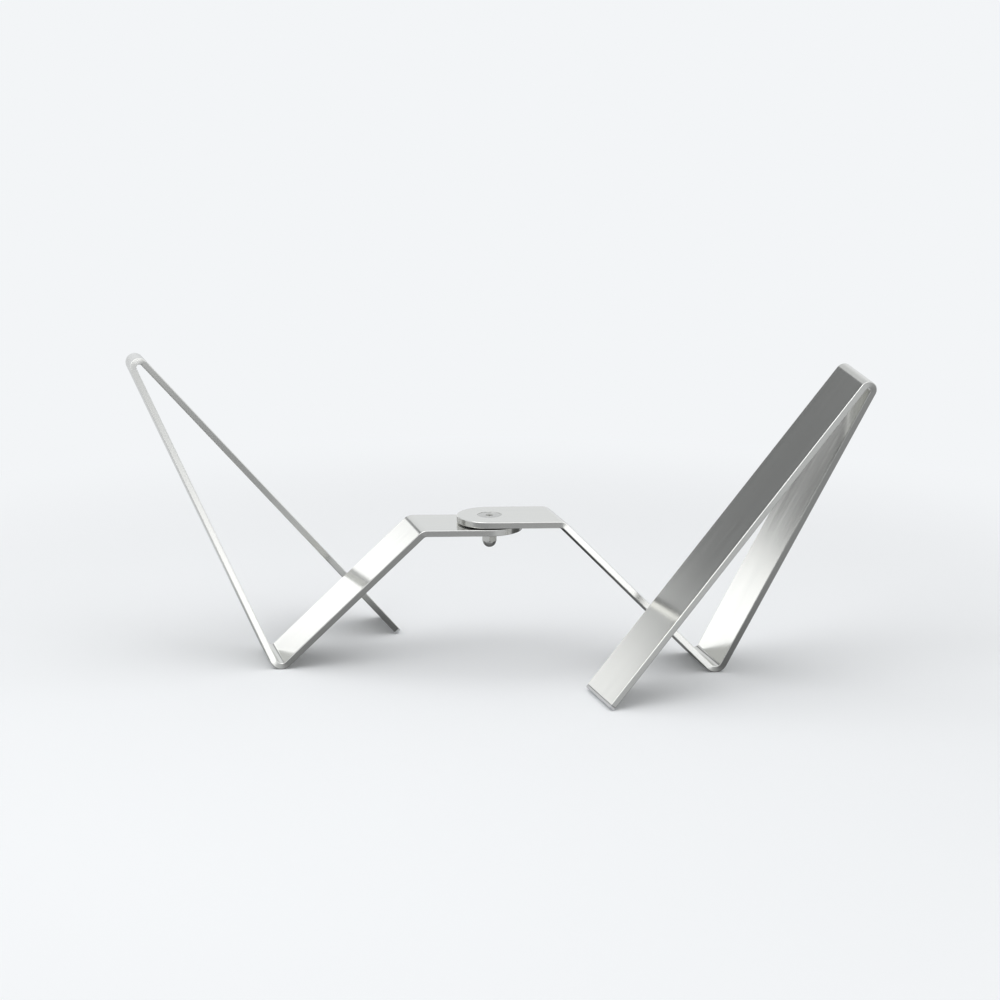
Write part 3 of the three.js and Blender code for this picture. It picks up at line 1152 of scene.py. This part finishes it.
@dataclass(frozen=True)
class PivotSizes:
    """Driving sizes of the pivot. Those that the solids have too are the same."""

    shoulder_radius: float = 5 * MM
    head_radius: float = 8.5 * MM
    head_rim: float = 0.5 * MM
    head_recess: float = 0.2 * MM
    socket_half_flats: float = 2.5 * MM
    socket_depth: float = 3 * MM
    socket_land: float = 1.2 * MM
    drill_share: float = 0.9               # radius of the drilled core against the socket's half flats
    drill_point: float = 1 / 3             # depth of the drill's point against the same
    stud_radius: float = 3 * MM
    bush_wall: float = 1.5 * MM
    bush_flange_radius: float = 13 * MM
    friction_radius: float = 11 * MM
    friction_thickness: float = 0.8 * MM
    spring_radius: float = 10 * MM
    spring_thickness: float = 0.8 * MM
    spring_rise: float = 0.6 * MM
    clamp_radius: float = 9 * MM
    clamp_thickness: float = 1.2 * MM
    nut_half_flats: float = 5 * MM
    nut_height: float = 5 * MM
    nut_dome_radius: float = 4.75 * MM
    nut_dome_wall: float = 2 * MM
    nut_corner_break: float = 0.6 * MM
    stud_reach: float = 1.5 * MM
    running_fit: float = 0.05 * MM
    washer_play: float = 0.2 * MM
    softening: float = 0.15 * MM


class Pivot:
    """The friction pivot: screw, bush, washers, spring and nut, with the bores they sit in."""

    DOME_STEPS = 20

    def __init__(self, strap: StrapSizes, sizes: PivotSizes) -> None:
        """Works out the heights down the pivot from the strap's and the pivot's sizes."""
        self.strap = strap
        self.sizes = sizes
        self.turning = Turning()
        gap = strap.stack_gap
        self.head_top = strap.tab_top - sizes.head_recess
        self.cone_top = self.head_top - sizes.head_rim
        self.cone_bottom = self.cone_top - (sizes.head_radius - sizes.shoulder_radius)
        self.flange_top = strap.tab_top - strap.thickness - gap
        self.lower_tab_top = self.flange_top - strap.flange_thickness - gap
        self.lower_tab_underside = self.lower_tab_top - strap.thickness
        self.friction_top = self.lower_tab_underside - gap
        self.spring_top = self.friction_top - sizes.friction_thickness - gap
        self.spring_bottom = self.spring_top - sizes.spring_thickness - sizes.spring_rise
        self.clamp_top = self.spring_bottom - gap
        self.nut_top = self.clamp_top - sizes.clamp_thickness - gap
        self.nut_hex_bottom = self.nut_top - sizes.nut_height
        self.bore = sizes.shoulder_radius + sizes.running_fit

    def screw_seat(self) -> list[BoreStep]:
        """Draws the bore and countersink of the upper tab.

        Returns:
            Its steps, from the top.
        """
        s = self.sizes
        half = self.strap.thickness / 2
        middle = self.strap.upper_tab_middle
        rim = s.head_radius + s.running_fit
        lip = s.softening
        near = lip / 4           # a rounded lip's middle lies this near the sharp corner
        return [
            (rim + lip, half, 0.0),
            (rim + near, half - near, 1.0),
            (rim, half - lip, 0.0),
            (rim, self.cone_top - middle, 0.0),
            (self.bore, self.cone_bottom - middle, 0.0),
            (self.bore, -half, 0.0),
        ]

    def bush_seat(self) -> list[BoreStep]:
        """Draws the plain bore of the lower tab.

        Returns:
            Its steps, from the top.
        """
        half = self.strap.thickness / 2
        radius = self.bore + self.sizes.bush_wall + self.sizes.running_fit
        chamfer = self.sizes.softening
        return [
            (radius + chamfer, half, 0.0),
            (radius, half - chamfer, 1.0),
            (radius, chamfer - half, 1.0),
            (radius + chamfer, -half, 0.0),
        ]

    def screw(self) -> Piece:
        """Turns the countersunk shoulder screw with its hexagon socket.

        Returns:
            The piece.
        """
        s = self.sizes
        gap = self.strap.stack_gap
        stud_end = self.nut_hex_bottom - s.stud_reach
        outside = self.turning.soften(
            [
                (0, stud_end), (s.stud_radius, stud_end), (s.stud_radius, self.spring_bottom),
                (s.shoulder_radius, self.spring_bottom), (s.shoulder_radius, self.cone_bottom - gap),
                (s.head_radius, self.cone_top - gap), (s.head_radius, self.head_top),
                (s.socket_half_flats + s.socket_land, self.head_top),
            ],
            s.softening, closed=False,
        )
        flats = s.socket_half_flats
        lip = s.softening
        near = lip / 3           # a rounded lip's middle lies this near the sharp corner
        floor = self.head_top - s.socket_depth
        socket = [
            Station(flats + lip, self.head_top, hexagonal=True),
            Station(flats + near, self.head_top - near, hexagonal=True, edge=1.0),
            Station(flats, self.head_top - lip, hexagonal=True),
            Station(flats, floor, hexagonal=True),
            Station(flats * s.drill_share, floor),
            Station(0, floor - flats * s.drill_point),
        ]
        return self.turning.body("pivot_screw_turned", outside + socket, closed=False)

    def bush(self) -> Piece:
        """Moulds the flanged bush that lines the lower tab and parts the tabs.

        Returns:
            The piece.
        """
        s = self.sizes
        outer = self.bore + s.bush_wall
        flange_bottom = self.flange_top - self.strap.flange_thickness
        corners = (
            (self.bore, self.lower_tab_underside), (outer, self.lower_tab_underside),
            (outer, flange_bottom), (s.bush_flange_radius, flange_bottom),
            (s.bush_flange_radius, self.flange_top), (self.bore, self.flange_top),
        )
        return self._ring("pivot_bush_moulded", corners)

    def friction_washer(self) -> Piece:
        """Punches the acetal washer under the lower tab.

        Returns:
            The piece.
        """
        s = self.sizes
        inner = s.shoulder_radius + s.washer_play
        return self._washer(
            "friction_washer_punched", inner, s.friction_radius,
            self.friction_top - s.friction_thickness, self.friction_top,
        )

    def disc_spring(self) -> Piece:
        """Presses the conical spring washer.

        Returns:
            The piece.
        """
        s = self.sizes
        inner = s.shoulder_radius + s.washer_play
        corners = (
            (inner, self.spring_bottom), (s.spring_radius, self.spring_top - s.spring_thickness),
            (s.spring_radius, self.spring_top), (inner, self.spring_bottom + s.spring_thickness),
        )
        return self._ring("disc_spring_pressed", corners)

    def clamp_washer(self) -> Piece:
        """Makes the thick washer above the nut.

        Returns:
            The piece.
        """
        s = self.sizes
        return self._washer(
            "clamp_washer_tumbled", s.stud_radius + s.running_fit, s.clamp_radius,
            self.clamp_top - s.clamp_thickness, self.clamp_top,
        )

    def _washer(self, name: str, inner: float, outer: float, bottom: float, top: float) -> Piece:
        """Makes a flat washer.

        Args:
            name: The piece's name.
            inner: Bore radius.
            outer: Outer radius.
            bottom: Height of its underside.
            top: Height of its upper side.

        Returns:
            The washer.
        """
        return self._ring(name, ((inner, bottom), (outer, bottom), (outer, top), (inner, top)))

    def _ring(self, name: str, corners: Sequence[Span]) -> Piece:
        """Sweeps a closed profile with softened corners round the pivot.

        Args:
            name: The piece's name.
            corners: Corners as radius and height, with the solid on the left-hand side.

        Returns:
            The piece.
        """
        profile = self.turning.soften(corners, self.sizes.softening, closed=True)
        return self.turning.body(name, profile, closed=True)

    def cap_nut(self) -> Piece:
        """Makes the domed cap nut with chamfered corners and its blind bore.

        Returns:
            The piece.
        """
        s = self.sizes
        corner = s.nut_half_flats / math.cos(math.pi / HEX_SIDES)
        rise = s.nut_corner_break / (corner - s.nut_half_flats)
        bore = s.stud_radius + s.running_fit
        bore_end = self.nut_hex_bottom - s.nut_dome_radius + s.nut_dome_wall
        stations = []
        for i in range(self.DOME_STEPS + 1):
            angle = math.pi / 2 * i / self.DOME_STEPS
            radius = s.nut_dome_radius * math.sin(angle)
            stations.append(Station(radius, self.nut_hex_bottom - s.nut_dome_radius * math.cos(angle)))
        face = s.nut_half_flats
        stations += [
            Station(face, self.nut_hex_bottom),
            Station(face, self.nut_hex_bottom, hexagonal=True, corner_rise=rise, edge=1.0),
            Station(face, self.nut_top, hexagonal=True, corner_rise=-rise, edge=1.0),
            Station(face, self.nut_top),
            Station(bore + s.softening, self.nut_top),
            Station(bore, self.nut_top - s.softening),
            Station(bore, bore_end),
            Station(0, bore_end),
        ]
        return self.turning.body("cap_nut_polished", stations, closed=False)


# ---- The stand


@dataclass
class Stand:
    """The whole stand: two folded halves and the pivot between them."""

    strap: StrapSizes = field(default_factory=StrapSizes)
    pivot: PivotSizes = field(default_factory=PivotSizes)
    finishes: dict[Finish, bpy.types.Material] = field(default_factory=dict)
    bond_inset: float = 0.35 * MM
    bond_rounding: float = 0.05 * MM
    pad_rounding: float = 0.4 * MM
    pad_inset: float = 0.02 * MM

    def material(self, finish: Finish) -> bpy.types.Material:
        """Finds a finish's material, or builds it the first time that it is needed.

        Args:
            finish: The finish.

        Returns:
            Its material.
        """
        if finish not in self.finishes:
            self.finishes[finish] = finish.value.build()
        return self.finishes[finish]

    def dress(self, piece: Piece, finish: Finish, body: str, node: str | None) -> None:
        """Gives a piece its finish and its body, and hides the solid it stands for.

        Args:
            piece: The finished piece.
            finish: What it is made of.
            body: The moving body that carries it.
            node: The CAD node that it replaces, or None for trim.
        """
        piece.data.materials.clear()
        piece.data.materials.append(self.material(finish))
        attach(piece, body)
        if node is not None:
            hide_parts(node)
        log.info("%s: %s, %d faces, on %s", piece.name, finish.name, len(piece.data.polygons), body)

    def build_half(
        self, label: str, tab_middle: float, half_turned: bool, bore: Sequence[BoreStep],
    ) -> None:
        """Builds one folded half with its bond line and pad.

        Args:
            label: "upper" or "lower".
            tab_middle: Height of its tab's middle surface.
            half_turned: Whether it is the left-hand half.
            bore: The profile of its bore.
        """
        body = f"{label}_side"
        plan = FoldPlanner(self.strap).plan(tab_middle, half_turned)
        blank = StrapBlank(self.strap, plan)
        tree = FoldTree()
        bond_end = plan.strap_end + self.strap.bond_gap
        strap = blank.strap(f"{label}_strap_folded", bore)
        bond = blank.slab(
            f"{label}_bond_line", plan.strap_end, bond_end, self.bond_inset, self.bond_rounding,
        )
        pad = blank.slab(
            f"{label}_foot_pad_ground", bond_end, plan.leg_end, self.pad_inset, self.pad_rounding,
        )
        pieces = (
            (strap, Finish.STRAP, f"{label}_strap"),
            (bond, Finish.BOND, None),
            (pad, Finish.PAD, f"{label}_foot_pad"),
        )
        for piece, finish, node in pieces:
            tree.fold(piece, plan, self.material(finish))
            self.dress(piece, finish, body, node)

    def build_pivot(self, pivot: Pivot) -> None:
        """Builds the pieces on the pivot.

        Args:
            pivot: The pivot with its heights worked out.
        """
        self.dress(pivot.screw(), Finish.SCREW, "upper_side", "pivot_screw")
        self.dress(pivot.bush(), Finish.ACETAL, "lower_side", "pivot_bush")
        self.dress(pivot.friction_washer(), Finish.ACETAL, "upper_side", "friction_washer")
        self.dress(pivot.disc_spring(), Finish.SPRING, "upper_side", "disc_spring")
        self.dress(pivot.clamp_washer(), Finish.WASHER, "upper_side", "clamp_washer")
        self.dress(pivot.cap_nut(), Finish.NUT, "upper_side", "cap_nut")

    def build(self) -> None:
        """Builds every piece of the stand."""
        pivot = Pivot(self.strap, self.pivot)
        self.build_half("upper", self.strap.upper_tab_middle, False, pivot.screw_seat())
        self.build_half("lower", self.strap.lower_tab_middle, True, pivot.bush_seat())
        self.build_pivot(pivot)


# ---- Studio


@dataclass(frozen=True)
class Softbox:
    """A large even lamp.

    Attributes:
        name: The lamp's name.
        place: Where its middle is.
        aim: The point that it faces.
        size: Its width and height.
        radiance: How bright its face is, where 1 is white.
    """

    name: str
    place: Point
    aim: Point
    size: Span
    radiance: float

    def build(self) -> None:
        """Hangs the lamp."""
        light = bpy.data.lights.new(self.name, "AREA")
        light.shape = "RECTANGLE"
        light.size, light.size_y = self.size
        light.energy = self.radiance * WATTS_PER_RADIANCE * self.size[0] * self.size[1]
        lamp = bpy.data.objects.new(self.name, light)
        lamp.visible_camera = False
        lamp.location = self.place
        lamp.rotation_euler = (Vector(self.aim) - Vector(self.place)).to_track_quat("-Z", "Y").to_euler()
        bpy.context.scene.collection.objects.link(lamp)


@dataclass(frozen=True)
class Flag:
    """A grey card by the wall that the metal shows and the camera doesn't.

    Attributes:
        name: The card's name.
        low: Its lower left corner, seen from the camera.
        high: Its upper right corner.
        colour: Its colour in sRGB.
    """

    name: str
    low: Point
    high: Point
    colour: str

    def build(self) -> None:
        """Hangs the card."""
        draft = Draft()
        left, depth, bottom = self.low
        right, _, top = self.high
        corners = ((left, bottom), (right, bottom), (right, top), (left, top))
        draft.face(*(draft.point((across, depth, height)) for across, height in corners))
        card = show(draft.mesh(self.name), self.name)
        material, _, shader = new_material(f"matt_card_{self.name}")
        fill(shader, {"Base Color": srgb(self.colour), **MATT})
        card.data.materials.append(material)
        card.visible_camera = False


@dataclass(frozen=True)
class Studio:
    """Pale floor, soft light and the camera at the photograph's angle.

    The floor's spans are distances from a point on it. Levels are shares of the paper's own colour.
    """

    camera_place: Point = (0.0074, -1.5527, 0.5)
    camera_pitch: float = math.radians(13.82)    # how far it looks down
    camera_sight: float = 100.0                  # how far it sees
    lens_mm: float = 82.24
    sensor_mm: float = 36.0
    paper: str = "F3F5F7"
    floor_size: float = 60.0
    floor_fade: Span = (0.36, 0.75)              # lit paper turns into plain paper
    # painted shade on the paper, which only reflections show
    shade_centre: Point = (0.05, 0.3, 0.0)       # where the metal sees the darkest paper
    shade_reach: Span = (0.08, 0.45)
    shade_levels: Span = (0.05, 0.39)
    # round spots where the painted sheen is left out, so reflections show only the painted shade
    sheen_free_back_centre: Point = (0.02, 0.17, 0.0)
    sheen_free_back_reach: Span = (0.18, 0.26)
    sheen_free_front_centre: Point = (-0.25, -0.75, 0.0)
    sheen_free_front_reach: Span = (0.47, 0.58)
    # a painted sheen: in reflections the paper's colour rises towards a flat angle
    painted_sheen_facing: Span = (0.45, 0.72)            # 0 looks straight down and 1 along the paper
    painted_sheen_level: float = 0.8
    wall_level: float = 1.0
    ceiling_level: float = 0.7
    ceiling_rise: Span = (math.sin(math.radians(20)), math.sin(math.radians(40)))
    world_level: float = 0.62                    # how strongly the white surroundings light the stand
    softboxes: tuple[Softbox, ...] = (
        Softbox("key_softbox", (-0.95, -1.0, 1.5), (0, 0, 0.05), (1.4, 1.2), 1.3),
        Softbox("overhead_softbox", (0, -0.1, 1.7), (0, 0, 0), (2.2, 2.0), 0.55),
        Softbox("left_wall_softbox", (-3.12, 5.0, 1.0), (-0.1, 0, 0.05), (1.0, 0.9), 0.62),
        Softbox("left_floor_softbox", (-4.3, 5.0, 0.29), (0.18, 0, 0.06), (1.4, 0.58), 0.6),
        Softbox("left_strip_softbox", (-4.25, 5.0, 1.88), (0.1, 0, 0.05), (1.4, 0.44), 0.5),
        Softbox("front_softbox", (0.65, -2.5, 0.3), (0, 0, 0.1), (1.1, 0.6), 1.0),
    )
    flags: tuple[Flag, ...] = (
        Flag("low_wall_flag", (-5.3, 5.0, 0.66), (-3.64, 5.0, 1.6), "3A3B3C"),
        Flag("middle_wall_flag", (-3.6, 5.0, 1.5), (-2.2, 5.0, 2.2), "929394"),
        Flag("high_wall_flag", (-5.3, 5.0, 2.2), (-2.2, 5.0, 4.0), "929394"),
    )

    def build(self) -> None:
        """Builds the floor, the world, the lamps and the camera."""
        self._floor()
        self._world()
        for piece in (*self.softboxes, *self.flags):
            piece.build()
        self._camera()
        bpy.context.scene.view_settings.view_transform = "Standard"

    def _floor(self) -> None:
        """Lays pale paper that takes the stand's shadow and fades into the plain background.

        Close to the stand the paper is lit and shadowed. Further out it is its own plain colour. In
        reflections alone the paper carries painted shade and a painted sheen: the metal sees it darker
        where it looks down on it, and paler where it looks along it, a painted reflection of the walls
        at a flat angle. Under the stand and at the front left the painted sheen is left out, so the
        painted shade shows there alone.
        """
        draft = Draft()
        half = self.floor_size / 2
        corners = ((-half, -half, 0), (half, -half, 0), (half, half, 0), (-half, half, 0))
        draft.face(*(draft.point(corner) for corner in corners))
        floor = show(draft.mesh("paper_floor"), "paper_floor")
        material, node, shader = new_material("matt_studio_paper")
        ray = node("ShaderNodeLightPath").outputs
        place = node("ShaderNodeTexCoord").outputs["Object"]
        outward = node("ShaderNodeVectorMath", {0: place}, operation="LENGTH").outputs["Value"]
        fade = node(
            "ShaderNodeMapRange", {"Value": outward, **spans(self.floor_fade, WHOLE_SPAN)},
            interpolation_type="SMOOTHSTEP",
        )
        # painted shade and painted sheen, which reach the paper's colour in reflections only
        painted_shade = self._spread(node, place, self.shade_centre, self.shade_reach, self.shade_levels)
        clear = self._spread(node, place, self.sheen_free_back_centre, self.sheen_free_back_reach, WHOLE_SPAN)
        painted_sheen_mask = self._spread(node, place, self.sheen_free_front_centre, self.sheen_free_front_reach, (0.0, clear))
        facing = node("ShaderNodeLayerWeight", {"Blend": 0.5}).outputs["Facing"]
        painted_sheen = node(
            "ShaderNodeMapRange", {"Value": facing, **spans(self.painted_sheen_facing, (0.0, painted_sheen_mask))},
            interpolation_type="SMOOTHSTEP",
        )
        painted_reflection_level = node("ShaderNodeMix", {"Factor": painted_sheen, FLOAT_A: painted_shade, FLOAT_B: self.painted_sheen_level})
        seen_level = node(
            "ShaderNodeMix", {"Factor": ray["Is Glossy Ray"], FLOAT_A: 1.0, FLOAT_B: painted_reflection_level},
        )
        colour = node(
            "ShaderNodeVectorMath", {0: srgb(self.paper)[:3], "Scale": seen_level}, operation="SCALE",
        )
        fill(shader, {"Base Color": colour, **MATT})
        # further out the paper glows in its plain colour, which carries the same painted shade and sheen
        # in reflections
        plain = node("ShaderNodeEmission", {"Color": colour, "Strength": 1.0})
        mixed = node("ShaderNodeMixShader", {0: fade, 1: shader.outputs["BSDF"], 2: plain})
        fill(material.node_tree.get_output_node("ALL"), {"Surface": mixed})
        floor.data.materials.append(material)

    @staticmethod
    def _spread(
        node: Adder, place: Source, centre: Point, reach: Span, levels: tuple[float, float | Source],
    ) -> Node:
        """Grades the floor outwards from a point.

        Args:
            node: The adder of the floor's nodes.
            place: Where on the floor.
            centre: The point that the grade spreads from.
            reach: How far from it the grade starts and ends.
            levels: The level up to the first reach and from the second on.

        Returns:
            The node that gives the level at that place.
        """
        away = node("ShaderNodeVectorMath", {0: place, 1: centre}, operation="DISTANCE").outputs["Value"]
        return node("ShaderNodeMapRange", {"Value": away, **spans(reach, levels)})

    def _world(self) -> None:
        """Surrounds the stand with pale walls that darken towards the ceiling.

        The camera sees the plain background colour. So does the metal, up to where the walls end.
        """
        world = bpy.data.worlds.new("studio_walls")
        bpy.context.scene.world = world
        world.use_nodes = True
        world.node_tree.nodes.clear()
        node = partial(add_node, world.node_tree)
        ray = node("ShaderNodeLightPath").outputs
        towards = node("ShaderNodeTexCoord").outputs["Generated"]
        rise = node("ShaderNodeSeparateXYZ", {"Vector": towards}).outputs["Z"]
        levels = (self.wall_level, self.ceiling_level)
        walls = node(
            "ShaderNodeMapRange", {"Value": rise, **spans(self.ceiling_rise, levels)},
            interpolation_type="SMOOTHSTEP",
        )
        level = node("ShaderNodeMix", {"Factor": ray["Is Glossy Ray"], FLOAT_A: 1.0, FLOAT_B: walls})
        seen = node("ShaderNodeBackground", {"Color": srgb(self.paper), "Strength": level})
        light = node("ShaderNodeBackground", {"Color": srgb("FFFFFF"), "Strength": self.world_level})
        direct = node(
            "ShaderNodeMath",
            {0: ray["Is Camera Ray"], 1: ray["Is Transmission Ray"]}, operation="MAXIMUM",
        )
        shown = node("ShaderNodeMath", {0: direct, 1: ray["Is Glossy Ray"]}, operation="MAXIMUM")
        mixed = node("ShaderNodeMixShader", {0: shown, 1: light, 2: seen})
        node("ShaderNodeOutputWorld", {"Surface": mixed})

    def _camera(self) -> None:
        """Sets the camera where the photograph was taken from."""
        data = bpy.data.cameras.new("photograph_camera")
        data.lens = self.lens_mm
        data.sensor_width = self.sensor_mm
        data.clip_end = self.camera_sight
        camera = bpy.data.objects.new("photograph_camera", data)
        camera.location = self.camera_place
        camera.rotation_euler = (math.pi / 2 - self.camera_pitch, 0, 0)
        bpy.context.scene.collection.objects.link(camera)
        bpy.context.scene.camera = camera


def main() -> None:
    """Builds the stand and its studio."""
    logging.basicConfig(level=logging.INFO, format="%(name)s: %(message)s")
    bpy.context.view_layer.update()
    Stand().build()
    Studio().build()


if __name__ == "__main__":
    main()
